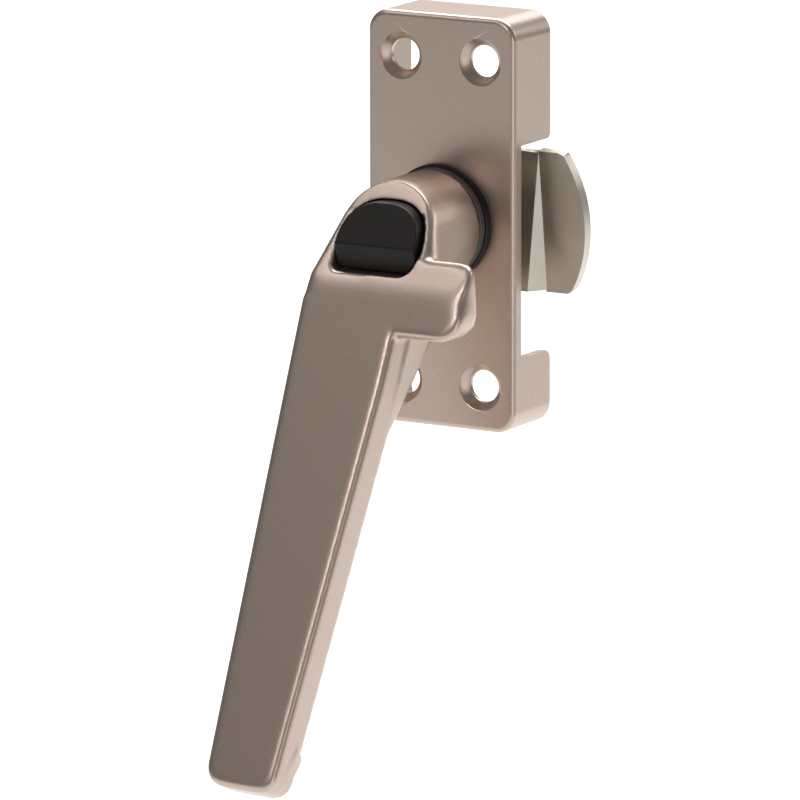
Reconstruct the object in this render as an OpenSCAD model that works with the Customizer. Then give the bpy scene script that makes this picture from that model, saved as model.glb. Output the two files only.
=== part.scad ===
// Surface-mounted window lock: a cast casing, a sloping lever handle with a push button,
// and a cranked tongue that turns out of the side of the casing.
// Row frame: +X right seen from the room, -Y towards the room, +Z up. The origin is on the
// spindle axis, in the mounting plane that the open back of the casing rests on.
// Every piece is drawn lying on its back: x right, y up the plate, z the height above the
// mounting plane. The module in_frame() stands it up. Lengths are in millimetres.

/* [Casing] */
// Width of the casing
case_w = 30; // [29:0.5:34]
// Height of the casing
case_h = 74.5; // [72:0.5:90]
// Depth of the casing, from the mounting plane to the front face
case_d = 13; // [12.5:0.5:16]
// Radius of the casing's four upright corners
case_corner_r = 4; // [3:0.5:6]
// Radius of the rounded edge round the front face
case_edge_r = 1; // [0.6:0.1:1.3]
// Thickness of the front wall
front_wall = 2.4; // [2:0.1:2.6]
// Thickness of the side walls
side_wall = 1.4; // [1.2:0.1:1.6]
// Distance between the screw holes across the casing
screw_pitch_x = 16.2; // [15:0.2:18]
// Distance between the screw holes along the casing
screw_pitch_y = 58.5; // [57:0.5:62]
// Diameter of the screw holes
screw_hole_d = 5.8; // [4.5:0.1:6.2]
// Diameter of the countersinks at the front face
screw_head_d = 8.5; // [7.6:0.1:9]
// Depth of the straight mouth of a countersink
screw_mouth = 0.2; // [0.1:0.05:0.4]

/* [Side slot] */
// Height of the slot's upper end above the spindle
slot_top = 14.5; // [14:0.5:18]
// Depth of the slot's lower end below the spindle
slot_bottom = 23.7; // [21:0.1:25]
// Depth of the lip that is left in front of the slot
slot_lip = 2.6; // [2.6:0.1:3.2]
// Radius at the foot of the wall above the slot
slot_top_r = 1; // [0.5:0.1:2]
// Radius at the foot of the wall below the slot
slot_bottom_r = 2; // [0.5:0.1:3]

/* [Bearing] */
// Diameter of the handle's journal, which turns in the bush
journal_d = 17.4; // [17.2:0.1:17.6]
// Wall of the bush
bush_wall = 0.65; // [0.5:0.05:0.7]
// Diameter of the bush's flange on the front face
flange_d = 20.8; // [20.2:0.1:22]
// Thickness of the flange
flange_t = 1.4; // [1:0.1:1.8]
// Diameter of the friction ring between flange and hub
ring_d = 20; // [19.6:0.1:21]
// Thickness of the friction ring
ring_t = 1.5; // [1:0.1:2]
// Gap between the friction ring and the hub
ring_gap = 0.1; // [0.05:0.05:0.3]

/* [Handle head] */
// Diameter of the hub
hub_d = 19.7; // [19.2:0.1:21]
// Angle of the sloping upper face to the plate
slope_angle = 33; // [28:1:36]
// Depth of the ridge below the spindle
ridge_drop = 7.6; // [7.2:0.1:9]
// Height of the ridge above the casing's front face
ridge_rise = 26; // [25:0.5:30]
// Radius of the handle's rounded front edges
edge_r = 1.2; // [0.8:0.1:1.5]
// Radius of the handle's rounded rear edges
rear_r = 0.8; // [0.5:0.1:1]

/* [Lever] */
// Angle of the lever's front face to the plate
lever_angle = 22.8; // [18:0.2:26]
// Length of the lever along its slope, from ridge to end
lever_len = 91.3; // [80:0.1:120]
// Distance of the lever's straight left edge from the spindle
lever_left = 12.75; // [12:0.05:13.5]
// Distance of the lever's right edge from the spindle, at the ridge
lever_right = 7.85; // [6:0.05:9]
// The same distance at the lever's end
lever_right_end = 1; // [-1:0.1:6]
// Thickness of the lever
lever_t = 7.6; // [7:0.1:9]
// Thickness of the rounded lip at the lever's end
lip_t = 9.4; // [8.8:0.1:11]
// Length of that lip along the lever
lip_len = 9; // [8.5:0.1:12]
// Radius of the lever's two lower corners
end_corner_r = 3; // [2:0.1:4]
// Wall left round the hollow in the lever's back
lever_wall = 2.2; // [1.6:0.1:2.4]

/* [Wing] */
// Distance of the wing's right end from the spindle
wing_reach = 20; // [17:0.5:24]
// Depth of the wing's upper edge below the spindle
wing_top = 2.3; // [1.8:0.1:3]
// Depth of the wing's lower edge below the spindle
wing_bottom = 15.6; // [14:0.1:18]
// Height of the wing's rear face above the casing's front face
wing_rise = 21.9; // [21:0.1:23]
// Radius of the wing's upper outer corner
wing_top_r = 2; // [1.3:0.1:3]
// Radius of the wing's lower outer corner
wing_bottom_r = 4; // [2:0.1:5]

/* [Push button] */
// Half the width of the button's pocket
pocket_half_w = 8.35; // [8:0.05:8.5]
// Height of the pocket's top above the spindle
pocket_top = 6.75; // [6.4:0.05:7]
// Depth of the pocket's lower edge below the spindle
pocket_bottom = 5.6; // [5:0.1:5.8]
// Squareness of the pocket's arched top, 2 is an ellipse
pocket_power = 2.5; // [2:0.1:3]
// Gap between the button and its pocket
button_gap = 0.7; // [0.3:0.05:0.8]
// Height of the button's crease above the casing's front face
crease_rise = 22.6; // [22:0.1:24]
// Depth of the button's crease below the spindle
crease_drop = 0.7; // [0.3:0.1:1.5]
// Travel of the button
button_travel = 2.5; // [1:0.1:2.6]
// Diameter of the lock pin behind the button
lock_pin_d = 2; // [1.8:0.1:2]
// Diameter of the pin's neck, which runs in the lock plate's slot
lock_neck_d = 1.5; // [1.2:0.1:1.5]
// Distance of the lock pin from the spindle axis
lock_pin_orbit = 7.1; // [7:0.05:7.2]

/* [Spindle and tongue] */
// Width across the flats of the square spindle
spindle_w = 6; // [5.6:0.1:6]
// Outer diameter of the spacer on the spindle
spacer_d = 9.4; // [9.2:0.1:9.6]
// Thickness of the tongue's plate
tongue_t = 2.2; // [1.6:0.1:2.3]
// Height of the front of the tongue's flat root above the mounting plane
tongue_root_z = 5.3; // [5.3:0.1:5.8]
// Half the height of the tongue's root
tongue_root_half = 12.7; // [12:0.1:12.8]
// Half the height of the tongue's blade
tongue_half = 13.05; // [12.8:0.05:13.05]
// Radius of the blade's outer edge about the spindle
tongue_reach = 24.35; // [22:0.05:24.5]
// Radius of the blade's two outer corners
tongue_corner_r = 1.6; // [0.8:0.1:2.5]
// Height of the front of the blade above the mounting plane, at its middle
blade_z = 4.1; // [4.1:0.1:4.2]
// Tilt of the blade, which draws the window shut as it turns
blade_tilt = 7; // [4:0.5:7]
// Distance from the spindle at which the tongue's crank begins
crank_start = 13.4; // [13:0.1:14]
// Width of the crank
crank_w = 2.2; // [1.8:0.1:3]

/* [Hidden] */
$fn = 64;
ROUND = 24;          // facets of the small balls that the outer hulls are drawn round
WING_SINK = 0.03;    // the wing's faces lie this little behind the head's and the lever's
WING = 28;           // facets of the balls round the wing
CAST = 20;           // facets of the balls round the lever's lip and hollow
EPS = 0.01;
RUN = 0.05;          // radial clearance of a running fit
SEAT = 0.02;         // radial clearance of a fixed fit
CLEAR = 0.3;         // clearance between parts that pass each other

inner_z = case_d - front_wall;                 // inner face of the front wall
hub_z = case_d + flange_t + ring_t + ring_gap; // rear face of the hub
hub_r = hub_d / 2;
ridge_z = case_d + ridge_rise;
crease_z = case_d + crease_rise;
wing_z = case_d + wing_rise;
journal_r = journal_d / 2;
bush_r = journal_r + RUN + bush_wall;
journal_end = inner_z + CLEAR;                 // rear face of the journal

lock_plate_t = 1.2;
lock_plate_rear = inner_z - lock_plate_t;
lock_plate_half = 21;
lock_plate_w = 12;
lock_plate_r = 10.8;
rivet_y = 17.5;
rivet_r = 1;
rivet_depth = 1.6;
rivet_head_r = 2;
rivet_head_t = 0.8;
lock_pin_r = lock_pin_d / 2;
lock_neck_r = lock_neck_d / 2;
collar_r = lock_pin_r + 0.35;
collar_t = 0.6;
collar_z = lock_plate_rear - CLEAR - collar_t;  // rear face of the collar

spindle_top = hub_z + 6;
pocket_floor = spindle_top + 4;
button_base = pocket_floor + button_travel + CLEAR;
pocket_mid = -1.2;                             // where the pocket's arch meets its sides
pocket_left_r = 1.3;
pocket_right_r = 3;
foot_half_w = 3;
foot_drop = lock_pin_orbit + lock_pin_r + 0.5;
foot_t = 2.2;
spring_seat_r = 3.3;
spring_seat_z = pocket_floor - 2;
button_spring_top = button_base + 2.7;
button_spring_r = 2.7;
button_wire_r = 0.3;
keeper_r = 0.8;
keeper_y = -4.45;
keeper_z = button_base + 2.2;
keeper_blind = 9;
cross_pin_r = 1.25;
cross_pin_z = hub_z + 3;
cross_pin_blind = 6.5;

thrust_washer_t = 0.5;
thrust_washer_r = 5.4;
thrust_washer_z = lock_plate_rear - CLEAR - thrust_washer_t;
wave_washer_t = 0.35;
tongue_root_r = 11;
tongue_rear_z = tongue_root_z - tongue_t;
spindle_end = tongue_rear_z + 0.1;
plain_washer_t = 0.5;
split_washer_t = 0.7;
washer_r = 4.2;
screw_r = 2;
screw_head_r = 3.5;
screw_head_t = 1.4;
screw_len = 9;

// Stands a piece up: its height above the mounting plane points at the room
module in_frame() {
    rotate([90, 0, 0]) children();
}

// Axis along +X for a piece drawn along +Z
module along_x() {
    rotate([0, 90, 0]) children();
}

// Rectangle with round corners, made of straight parts and circles
module rounded_rect(w, h, r) {
    square([w - 2 * r, h], center = true);
    square([w, h - 2 * r], center = true);
    for (sx = [-1, 1], sy = [-1, 1])
        translate([sx * (w / 2 - r), sy * (h / 2 - r)]) circle(r);
}

// Slab with round corners and a quarter-round edge along its upper face
module edged_slab(w, h, d, corner_r, rim_r) {
    linear_extrude(d - rim_r) rounded_rect(w, h, corner_r);
    linear_extrude(d) rounded_rect(w - 2 * rim_r, h - 2 * rim_r, corner_r - rim_r);
    for (sx = [-1, 1], sy = [-1, 1])
        translate([sx * (w / 2 - corner_r), sy * (h / 2 - corner_r), d - rim_r])
            rotate_extrude() translate([corner_r - rim_r, 0]) circle(rim_r);
    for (side = [-1, 1]) {
        translate([side * (w / 2 - rim_r), 0, d - rim_r]) rotate([90, 0, 0])
            cylinder(h = h - 2 * corner_r, r = rim_r, center = true);
        translate([0, side * (h / 2 - rim_r), d - rim_r]) along_x()
            cylinder(h = w - 2 * corner_r, r = rim_r, center = true);
    }
}

// Places a child at each of the four screw holes
module at_screws() {
    for (sx = [-1, 1], sy = [-1, 1])
        translate([sx * screw_pitch_x / 2, sy * screw_pitch_y / 2, 0]) children();
}

// Countersunk screw hole through the front wall
module screw_hole() {
    sink = (screw_head_d - screw_hole_d) / 2;
    translate([0, 0, inner_z - 1]) cylinder(h = front_wall + 2, d = screw_hole_d);
    translate([0, 0, case_d - screw_mouth - sink])
        cylinder(h = sink, d1 = screw_hole_d, d2 = screw_head_d);
    translate([0, 0, case_d - screw_mouth]) cylinder(h = 1, d = screw_head_d);
}

// Outline of the side slot, seen along the wall: up the plate and above the mounting plane
module slot_outline() {
    translate([-slot_bottom, -1]) square([slot_top + slot_bottom, case_d - slot_lip + 1]);
    for (foot = [[slot_top, slot_top_r, 1], [-slot_bottom, slot_bottom_r, -1]])
        translate([foot[0], 0]) scale_x(foot[2]) difference() {
            square([foot[1], foot[1]]);
            translate([foot[1], foot[1]]) circle(foot[1]);
        }
}

// Mirrors an outline left to right when side is -1
module scale_x(side) {
    if (side < 0) mirror([1, 0]) children();
    else children();
}

// Compression spring: a round wire swept along a helix, with flat closed end turns
module coil_spring(bottom, top, coil_r, wire_r, turns, sides = 6, per_turn = 14) {
    steps = turns * per_turn;
    rise = top - bottom - 2 * wire_r;
    function ease(t) = let (u = t * turns)
        u < 1 ? 0.6 * wire_r * u / turns * turns / rise
        : u > turns - 1 ? 1 - 0.6 * wire_r * (turns - u) / rise
        : let (a = 0.6 * wire_r / rise) a + (1 - 2 * a) * (u - 1) / (turns - 2);
    points = [for (i = [0:steps]) let (t = i / steps, a = 360 * turns * t,
                                       c = bottom + wire_r + rise * ease(t))
              for (k = [0:sides - 1]) let (b = 360 * k / sides, q = coil_r + wire_r * cos(b))
              [q * cos(a), q * sin(a), c + wire_r * sin(b)]];
    walls = [for (i = [0:steps - 1], k = [0:sides - 1]) let (j = (k + 1) % sides)
             [i * sides + k, i * sides + j, (i + 1) * sides + j, (i + 1) * sides + k]];
    start = [[for (k = [sides - 1:-1:0]) k]];
    finish = [[for (k = [0:sides - 1]) steps * sides + k]];
    polyhedron(points, [for (f = concat(walls, start, finish)) [for (k = [len(f) - 1:-1:0]) f[k]]]);
}

// Cast housing, open at the back
module casing() {
    color([0.60, 0.54, 0.49]) in_frame() difference() {
        edged_slab(case_w, case_h, case_d, case_corner_r, case_edge_r);
        translate([0, 0, -1]) linear_extrude(inner_z + 1)
            rounded_rect(case_w - 2 * side_wall, case_h - 2 * side_wall,
                         case_corner_r - side_wall);
        at_screws() screw_hole();
        translate([0, 0, inner_z - 1]) cylinder(h = front_wall + 2, r = bush_r + SEAT);
        translate([case_w / 2 - side_wall - EPS, 0, 0]) rotate([90, 0, 90])
            linear_extrude(side_wall + 1) slot_outline();
        for (side = [-1, 1])
            translate([0, side * rivet_y, inner_z - 1])
                cylinder(h = 1 + rivet_depth, r = rivet_r + SEAT);
    }
}

// Plastic bush: a sleeve in the front wall with a grooved flange on the front face
module bearing_bush() {
    rim = flange_d / 2;
    color([0.10, 0.09, 0.09]) in_frame() rotate_extrude() difference() {
        polygon([[journal_r + RUN, inner_z], [bush_r, inner_z],
                 [bush_r, case_d], [rim, case_d], [rim, case_d + flange_t - 0.35],
                 [rim - 0.35, case_d + flange_t], [journal_r + RUN, case_d + flange_t]]);
        translate([rim, case_d + flange_t / 2]) circle(0.16, $fn = 24);
    }
}

// Rubber ring that the hub presses on the flange, so that the handle stays where it is put
module friction_ring() {
    rim = ring_d / 2;
    base = case_d + flange_t;
    color([0.07, 0.07, 0.07]) in_frame() rotate_extrude() union() {
        translate([journal_r + 2 * RUN, base])
            square([rim - 0.4 - journal_r - 2 * RUN, ring_t]);
        translate([rim - 0.6, base]) square([0.2 + EPS, ring_t]);
        translate([rim - 0.4, base + 0.4]) circle(0.4);
        translate([rim - 0.4, base + ring_t - 0.4]) circle(0.4);
        translate([rim - 0.4 - EPS, base + 0.4]) square([0.4 - 0.08 + EPS, ring_t - 0.8]);
    }
}

// Steel plate behind the front wall: its arc slot guides the lock pin, the ends of the slot
// stop the turn, and the wide hole at one end takes the pin's collar and locks the handle
module lock_plate() {
    color([0.62, 0.63, 0.60]) in_frame()
        translate([0, 0, lock_plate_rear]) linear_extrude(lock_plate_t) difference() {
            union() {
                rounded_rect(lock_plate_w, 2 * lock_plate_half, 3);
                circle(lock_plate_r);
            }
            circle(spacer_d / 2 + RUN);
            arc_slot(lock_pin_orbit, lock_neck_d + 2 * CLEAR, 180, 270);
            translate([0, -lock_pin_orbit]) circle(collar_r + CLEAR);
            for (side = [-1, 1]) translate([0, side * rivet_y]) circle(rivet_r + SEAT);
        }
}

// Slot of round ends along an arc, from one angle to another less than half a turn on
module arc_slot(r, w, from, to) {
    for (a = [from, to]) rotate(a) translate([r, 0]) circle(w / 2);
    intersection() {
        difference() {
            circle(r + w / 2);
            circle(r - w / 2);
        }
        far = 2 * r;
        polygon([[0, 0], far * [cos(from), sin(from)],
                 far * 1.5 * [cos((from + to) / 2), sin((from + to) / 2)],
                 far * [cos(to), sin(to)]]);
    }
}

// Two rivets that hold the lock plate on the front wall
module lock_plate_rivets() {
    head_z = lock_plate_rear - rivet_head_t;
    color([0.70, 0.69, 0.66]) in_frame() for (side = [-1, 1])
        translate([0, side * rivet_y, head_z]) {
            cylinder(h = rivet_head_t, r = rivet_head_r);
            cylinder(h = rivet_head_t + lock_plate_t + rivet_depth - 0.1, r = rivet_r);
        }
}

// Height of the sloping upper face at a distance y up the plate
function slope_z(y) = ridge_z - tan(slope_angle) * (y + ridge_drop);

// Height of the lever's front face at y
function front_z(y) = ridge_z - tan(lever_angle) * (y + ridge_drop);

// Centre of a ball of radius r that touches both faces under the ridge, as [y, z]
function ridge_ball(r) =
    let (w = (r / cos(lever_angle) - r / cos(slope_angle))
             / (tan(slope_angle) - tan(lever_angle)))
    [w - ridge_drop, front_z(w - ridge_drop) - r / cos(lever_angle)];

// Lever frame: x across, y up along the lever from the ridge, z out of its front face
module in_lever() {
    translate([0, -ridge_drop, ridge_z]) rotate([-lever_angle, 0, 0]) children();
}

// Distance of the lever's right edge from the spindle, d below the ridge along the lever
function right_edge(d) = lever_right + (lever_right_end - lever_right) * d / lever_len;

module ball(r, at) {
    translate(at) sphere(r, $fn = ROUND);
}

module wing_ball(at) {
    translate(at) sphere(edge_r, $fn = WING);
}

// Arched head: hub outline at the back, flared out to the width of the lever at the ridge
module head_block() {
    rb = ridge_ball(edge_r);
    arch_r = hub_r - edge_r;
    hull() {
        for (side = [-1, 1]) {
            ball(edge_r, [side * (lever_left - edge_r), rb[0], rb[1]]);
            ball(rear_r, [side * (lever_left - rear_r), -ridge_drop - 1, ridge_z - lever_t]);
        }
        for (a = [-10:10:190])
            let (y = arch_r * sin(a))
            ball(edge_r, [arch_r * cos(a), y, slope_z(y) - edge_r / cos(slope_angle)]);
        translate([0, 0, hub_z]) cylinder(h = 1, r = hub_r, $fn = 96);
    }
}

// Neck: carries the lever's back down to the hub's rear edge
module neck_block() {
    hull() {
        translate([0, 0, hub_z + 0.4]) cylinder(h = 14, r = hub_r - 0.2, $fn = 48);
        in_lever() for (x = [-8, right_edge(24) - 1.5])
            ball(1.2, [x, -26, -lever_t + 1.3]);
    }
}

// Lever: straight on the left, tapered on the right, with round edges
module lever_block() {
    hull() {
        rb = ridge_ball(edge_r);
        for (x = [-lever_left + edge_r, lever_right - edge_r])
            ball(edge_r, [x, rb[0], rb[1]]);
        in_lever() {
            for (x = [-lever_left + rear_r, lever_right - rear_r])
                ball(rear_r, [x, -0.5, -lever_t + rear_r]);
            for (layer = [[edge_r, -edge_r], [rear_r, -lever_t + rear_r]])
                for (side = [-1, 1], a = [0:30:90]) {
                    swing = end_corner_r - layer[0];
                    edge = side < 0 ? -lever_left : lever_right_end;
                    ball(layer[0], [edge - side * end_corner_r + side * swing * cos(a),
                                    -lever_len + end_corner_r - swing * sin(a), layer[1]]);
                }
        }
    }
}

// Rounded lip at the lever's end, thicker than the lever towards the plate
module lip_block() {
    near = lever_len - lip_len;
    in_lever() hull() for (end = [[-lever_left, 1], [lever_right_end, -1]]) {
        for (p = [[2.6, 0.1, 3], [2.6, 4.1, 0], [3.4, 1.3, 0]])
            translate([end[0] + end[1] * p[0], p[0] + p[1] - lever_len, p[0] + p[2] - lip_t])
                sphere(p[0], $fn = CAST);
        translate([end[1] > 0 ? 1.2 - lever_left : right_edge(near) - 1.2, -near - 0.4,
                   2.2 - lever_t])
            sphere(1.2, $fn = CAST);
    }
}

// Wing: a wedge to the right of the ridge, between the two front faces and a flat rear face
module wing_block() {
    rb = ridge_ball(edge_r);
    top_y = -wing_top;
    low_y = -wing_bottom;
    top_arc = wing_top_r - edge_r;
    low_arc = wing_bottom_r - edge_r;
    translate([0, 0, -WING_SINK]) hull() {
        for (x = [0, wing_reach - edge_r]) wing_ball([x, rb[0], rb[1]]);
        for (a = [0:30:90]) {
            y1 = top_y - wing_top_r + top_arc * sin(a);
            x1 = wing_reach - wing_top_r + top_arc * cos(a);
            y2 = low_y + wing_bottom_r - low_arc * sin(a);
            x2 = wing_reach - wing_bottom_r + low_arc * cos(a);
            for (p = [[x1, y1, max(wing_z + edge_r, slope_z(y1) - edge_r / cos(slope_angle))],
                      [x2, y2, front_z(y2) - edge_r / cos(lever_angle)],
                      [x1, y1, wing_z + edge_r], [x2, y2, wing_z + edge_r]])
                wing_ball(p);
        }
        wing_ball([0, top_y - edge_r, wing_z + edge_r]);
        wing_ball([0, low_y + edge_r, wing_z + edge_r]);
        wing_ball([0, low_y + edge_r, front_z(low_y + edge_r) - edge_r / cos(lever_angle)]);
    }
}

// Hollow in the lever's back, with an even wall left round it
module lever_hollow() {
    r = 1.6;
    in_lever() hull() for (d = [30, lever_len - lip_len - 1.5], z = [r + lever_wall, lever_t + 3],
                           x = [r + lever_wall - lever_left, right_edge(d) - lever_wall - r])
        translate([x, -d, -z]) sphere(r, $fn = CAST);
}

// Outline of the button's pocket, taken in by a gap
module pocket_outline(gap) {
    half = pocket_half_w - gap;
    arch = pocket_top - gap - pocket_mid;
    bottom = -pocket_bottom + gap;
    left_r = max(0.8, pocket_left_r - gap / 2);
    right_r = pocket_right_r - gap / 2;
    polygon(concat(
        [for (i = [0:32]) let (a = 180 * i / 32)
            [half * sign(cos(a)) * pow(abs(cos(a)), 2 / pocket_power),
             pocket_mid + arch * pow(abs(sin(a)), 2 / pocket_power)]],
        [for (a = [180:15:270])
            [-half + left_r + left_r * cos(a), bottom + left_r + left_r * sin(a)]],
        [for (a = [270:10:360])
            [half - right_r + right_r * cos(a), bottom + right_r + right_r * sin(a)]]));
}

// Room under the handle's front for the button's foot, and the foot itself with a gap
module foot_shape(gap, bottom, top) {
    translate([-foot_half_w + gap, -foot_drop - 0.5 + gap, bottom])
        cube([2 * (foot_half_w - gap), foot_drop + 0.5 - gap, top - bottom]);
}

// Cast handle: head, wing, lever and the journal that turns in the bush
module handle() {
    color([0.62, 0.55, 0.50]) in_frame() difference() {
        union() {
            head_block();
            neck_block();
            lever_block();
            lip_block();
            wing_block();
            translate([0, 0, journal_end]) cylinder(h = hub_z - journal_end + 1,
                                                   r = journal_r);
        }
        lever_hollow();
        translate([0, 0, pocket_floor]) linear_extrude(ridge_z) pocket_outline(0);
        foot_shape(0, pocket_floor, button_base + foot_t + CLEAR);
        translate([0, 0, spring_seat_z]) cylinder(h = 3, r = spring_seat_r);
        translate([-spindle_w / 2 - SEAT, -spindle_w / 2 - SEAT, journal_end - 1])
            cube([spindle_w + 2 * SEAT, spindle_w + 2 * SEAT, spindle_top - journal_end + 1.2]);
        translate([0, -lock_pin_orbit, journal_end - 1])
            cylinder(h = pocket_floor - journal_end + 2, r = lock_pin_r + RUN);
        translate([-lever_left - 5, 0, cross_pin_z]) along_x()
            cylinder(h = lever_left + 5 + cross_pin_blind, r = cross_pin_r + SEAT);
        translate([-lever_left - 5, keeper_y, keeper_z]) along_x()
            cylinder(h = lever_left + 5 + keeper_blind + CLEAR, r = keeper_r + SEAT);
    }
}

// Square steel spindle from the handle's hub to the tongue, tapped at its rear end
module spindle() {
    color([0.66, 0.65, 0.62]) in_frame() difference() {
        translate([-spindle_w / 2, -spindle_w / 2, spindle_end])
            cube([spindle_w, spindle_w, spindle_top - spindle_end]);
        translate([0, 0, spindle_end - 1]) cylinder(h = screw_len + 1.5, r = screw_r + SEAT);
        translate([-spindle_w, 0, cross_pin_z]) along_x()
            cylinder(h = 2 * spindle_w, r = cross_pin_r + SEAT);
    }
}

// Pin that holds the handle on the spindle, driven in from the side that faces left
module handle_cross_pin() {
    color([0.55, 0.55, 0.54]) in_frame()
        translate([-hub_r + 0.4, 0, cross_pin_z]) along_x()
            cylinder(h = hub_r - 0.4 + cross_pin_blind - 0.2, r = cross_pin_r);
}

// Pin across the pocket that keeps the button from falling out
module button_keeper_pin() {
    color([0.66, 0.65, 0.62]) in_frame()
        translate([-hub_r - 0.2, keeper_y, keeper_z]) along_x()
            cylinder(h = hub_r + 0.2 + keeper_blind, r = keeper_r);
}

// Spacer sleeve between the handle's journal and the tongue, with a shoulder for the washers
module spacer() {
    shoulder = thrust_washer_z - wave_washer_t - tongue_root_z;
    color([0.63, 0.62, 0.58]) in_frame() difference() {
        translate([0, 0, tongue_root_z]) {
            cylinder(h = journal_end - tongue_root_z, d = spacer_d);
            cylinder(h = shoulder, r = thrust_washer_r);
        }
        translate([-spindle_w / 2 - SEAT, -spindle_w / 2 - SEAT, tongue_root_z - 1])
            cube([spindle_w + 2 * SEAT, spindle_w + 2 * SEAT, journal_end]);
    }
}

// Washer that bears on the back of the lock plate when the handle is pulled
module thrust_washer() {
    color([0.68, 0.67, 0.63]) in_frame()
        washer(thrust_washer_z, thrust_washer_t, thrust_washer_r, spacer_d / 2 + SEAT);
}

// Spring washer, pressed flat, that takes up the play of the handle
module wave_washer() {
    color([0.45, 0.45, 0.44]) in_frame()
        washer(thrust_washer_z - wave_washer_t, wave_washer_t, thrust_washer_r,
               spacer_d / 2 + SEAT);
}

// Outline of the tongue's blade: an arc about the spindle with two round corners
module blade_outline() {
    r = tongue_corner_r;
    cy = tongue_half - r;
    cx = sqrt(pow(tongue_reach - r, 2) - cy * cy);
    spread = atan2(cy, cx);
    start = crank_start + crank_w;
    corner = [for (i = [0:6]) let (a = 90 - (90 - spread) * i / 6) [r * cos(a), r * sin(a)]];
    arc = [for (i = [1:31]) let (a = spread * (1 - i / 16))
           tongue_reach * [cos(a), sin(a)]];
    polygon(concat([[start, -tongue_half], [start, tongue_half]],
                   [for (p = corner) [cx + p[0], cy + p[1]]], arc,
                   [for (i = [6:-1:0]) [cx + corner[i][0], -cy - corner[i][1]]]));
}

// Places a piece of the blade's plate in its tilted position
module in_blade() {
    translate([0, 0, blade_z]) rotate([blade_tilt, 0, 0]) translate([0, 0, -tongue_t])
        children();
}

// Pressed steel tongue: flat root on the spindle, a crank, and the tilted blade
module tongue() {
    color([0.62, 0.60, 0.50]) in_frame() difference() {
        union() {
            translate([0, 0, tongue_rear_z]) linear_extrude(tongue_t) {
                circle(tongue_root_r);
                translate([0, -tongue_root_half])
                    square([crank_start, 2 * tongue_root_half]);
            }
            hull() {
                translate([crank_start - 0.2, -tongue_root_half, tongue_rear_z])
                    cube([0.2, 2 * tongue_root_half, tongue_t]);
                in_blade() translate([crank_start + crank_w, -tongue_root_half, 0])
                    cube([0.2, 2 * tongue_root_half, tongue_t]);
            }
            in_blade() linear_extrude(tongue_t) blade_outline();
        }
        translate([-spindle_w / 2 - SEAT, -spindle_w / 2 - SEAT, tongue_rear_z - 1])
            cube([spindle_w + 2 * SEAT, spindle_w + 2 * SEAT, tongue_t + 2]);
    }
}

// Ring washer with a given hole, from one height up
module washer(bottom, t, outer_r, inner_r) {
    translate([0, 0, bottom]) difference() {
        cylinder(h = t, r = outer_r);
        translate([0, 0, -1]) cylinder(h = t + 2, r = inner_r);
    }
}

module tongue_washer() {
    color([0.68, 0.67, 0.63]) in_frame()
        washer(tongue_rear_z - plain_washer_t, plain_washer_t, washer_r, screw_r + 0.1);
}

// Split spring washer under the screw's head
module split_washer() {
    bottom = tongue_rear_z - plain_washer_t - split_washer_t;
    color([0.45, 0.45, 0.44]) in_frame() difference() {
        washer(bottom, split_washer_t, washer_r - 0.8, screw_r + 0.1);
        translate([0, 0, bottom + split_washer_t / 2]) rotate([25, 0, 0])
            translate([0, -0.3, -2]) cube([washer_r, 0.6, 4]);
    }
}

// Screw into the spindle's end, with a cross recess
module tongue_screw() {
    top = tongue_rear_z - plain_washer_t - split_washer_t;
    color([0.68, 0.67, 0.63]) in_frame() difference() {
        union() {
            translate([0, 0, top - screw_head_t]) cylinder(h = screw_head_t, r = screw_head_r);
            translate([0, 0, top - EPS]) cylinder(h = screw_len, r = screw_r);
        }
        for (turn = [0, 90]) rotate(turn)
            translate([-2, -0.4, top - screw_head_t - 1]) cube([4, 0.8, 1.8]);
    }
}

// Black moulded button: a sloping thumb face, a crease and a drop, and a foot under the front
module push_button() {
    top_y = pocket_top - button_gap;
    drop_y = -foot_drop - 2;
    color([0.09, 0.08, 0.08]) in_frame() difference() {
        union() {
            intersection() {
                translate([0, 0, button_base]) linear_extrude(ridge_z)
                    pocket_outline(button_gap);
                rotate([90, 0, 90]) linear_extrude(4 * pocket_half_w, center = true)
                    polygon([[drop_y, button_base], [top_y + 1, button_base],
                             [top_y + 1, slope_z(top_y + 1)], [top_y, slope_z(top_y)],
                             [-crease_drop, crease_z], [drop_y, crease_z - 0.5]]);
            }
            foot_shape(CLEAR, button_base, button_base + foot_t);
        }
        translate([0, 0, button_base - 1]) cylinder(h = button_spring_top - button_base + 1,
                                                    r = spring_seat_r);
        translate([0, -lock_pin_orbit, button_base - 1])
            cylinder(h = 2.7, r = lock_pin_r + SEAT);
        translate([-2 * pocket_half_w, keeper_y - keeper_r - 0.1, keeper_z - keeper_r - 0.1])
            cube([4 * pocket_half_w, 2 * keeper_r + 0.2, 2 * keeper_r + button_travel + 0.4]);
    }
}

// Steel pin in the button's foot, through the hub; its neck runs in the lock plate's slot
module lock_pin() {
    neck_z = journal_end + button_travel + CLEAR;
    color([0.66, 0.65, 0.62]) in_frame() translate([0, -lock_pin_orbit, 0]) {
        translate([0, 0, neck_z]) cylinder(h = button_base + 1.6 - neck_z, r = lock_pin_r);
        translate([0, 0, collar_z - 0.1]) cylinder(h = neck_z - collar_z + 0.2,
                                                 r = lock_neck_r);
    }
}

// Collar on the pin's end, which the spring draws into the lock plate's wide hole
module lock_collar() {
    color([0.55, 0.55, 0.54]) in_frame() translate([0, -lock_pin_orbit, 0])
        washer(collar_z, collar_t, collar_r, lock_neck_r);
}

// Spring that pushes the button out
module button_spring() {
    color([0.60, 0.60, 0.60]) in_frame()
        coil_spring(spring_seat_z + 0.02, button_spring_top - 0.02, button_spring_r,
                    button_wire_r, 5, 8, 16);
}

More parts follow.
